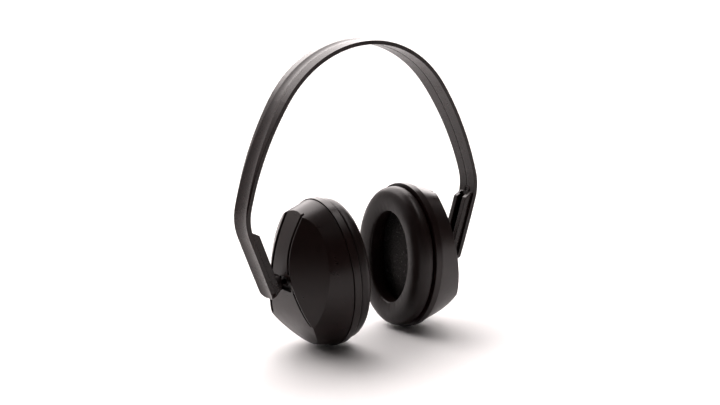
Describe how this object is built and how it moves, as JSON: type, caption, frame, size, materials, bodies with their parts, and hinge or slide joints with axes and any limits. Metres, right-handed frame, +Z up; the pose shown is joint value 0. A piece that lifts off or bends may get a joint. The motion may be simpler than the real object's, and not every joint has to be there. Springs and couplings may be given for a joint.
{
  "type": "hearing protection earmuffs",
  "caption": "Over-head hearing protection earmuffs: a slim sprung headband with slotted arms, and two deep oval ear cups on sliding ball pivots with soft vinyl cushions.",
  "frame": {"origin": "on the floor midway between the two cups, in the middle of the earmuffs front to back", "axes": "+X across the head towards one cup, +Y from front to back, +Z up along the arch"},
  "size_m": [0.1704, 0.0706, 0.1803],
  "materials": {
    "band_plastic": "satin moulded",
    "shell_plastic": "fine grain",
    "rim_plastic": "satin",
    "slider_plastic": "satin",
    "pivot_plastic": "satin",
    "clip_steel": "spring steel",
    "cushion_vinyl": "smooth vinyl",
    "cushion_foam": "soft foam",
    "insert_foam": "open-cell foam"
  },
  "bodies": {
    "headband": {"headband": "band_plastic"},
    "right_slider_body": {"right_slider": "slider_plastic"},
    "right_stud_body": {"right_ball_stud": "pivot_plastic"},
    "right_socket_body": {"right_socket_ring": "pivot_plastic"},
    "right_cup_body": {"right_cup_shell": "shell_plastic", "right_socket_clip": "clip_steel", "right_cup_rim": "rim_plastic", "right_cushion_plate": "rim_plastic", "right_cushion_cover": "cushion_vinyl", "right_cushion_foam": "cushion_foam", "right_foam_insert": "insert_foam"},
    "left_slider_body": {"left_slider": "slider_plastic"},
    "left_stud_body": {"left_ball_stud": "pivot_plastic"},
    "left_socket_body": {"left_socket_ring": "pivot_plastic"},
    "left_cup_body": {"left_cup_shell": "shell_plastic", "left_socket_clip": "clip_steel", "left_cup_rim": "rim_plastic", "left_cushion_plate": "rim_plastic", "left_cushion_cover": "cushion_vinyl", "left_cushion_foam": "cushion_foam", "left_foam_insert": "insert_foam"}
  },
  "joints": [
    {"name": "right_height", "type": "slide", "parent": "headband", "child": "right_slider_body", "axis": [0.342, 0, 0.9397], "range_m": [0, 0.025]},
    {"name": "right_stud_turn", "type": "hinge", "parent": "right_slider_body", "child": "right_stud_body", "pos_m": [0.05339, 0, 0.04416], "axis": [0.9986, 0, -0.0523], "range_deg": [-10, 10]},
    {"name": "right_swivel", "type": "hinge", "parent": "right_stud_body", "child": "right_socket_body", "pos_m": [0.05339, 0, 0.04416], "axis": [0.0523, 0, 0.9986], "range_deg": [-10, 10]},
    {"name": "right_tilt", "type": "hinge", "parent": "right_socket_body", "child": "right_cup_body", "pos_m": [0.05339, 0, 0.04416], "axis": [0, 1, 0], "range_deg": [-8, 8]},
    {"name": "left_height", "type": "slide", "parent": "headband", "child": "left_slider_body", "axis": [-0.342, 0, 0.9397], "range_m": [0, 0.025]},
    {"name": "left_stud_turn", "type": "hinge", "parent": "left_slider_body", "child": "left_stud_body", "pos_m": [-0.05339, 0, 0.04416], "axis": [-0.9986, 0, -0.0523], "range_deg": [-10, 10]},
    {"name": "left_swivel", "type": "hinge", "parent": "left_stud_body", "child": "left_socket_body", "pos_m": [-0.05339, 0, 0.04416], "axis": [-0.0523, 0, 0.9986], "range_deg": [-10, 10]},
    {"name": "left_tilt", "type": "hinge", "parent": "left_socket_body", "child": "left_cup_body", "pos_m": [-0.05339, 0, 0.04416], "axis": [0, -1, 0], "range_deg": [-8, 8]}
  ]
}
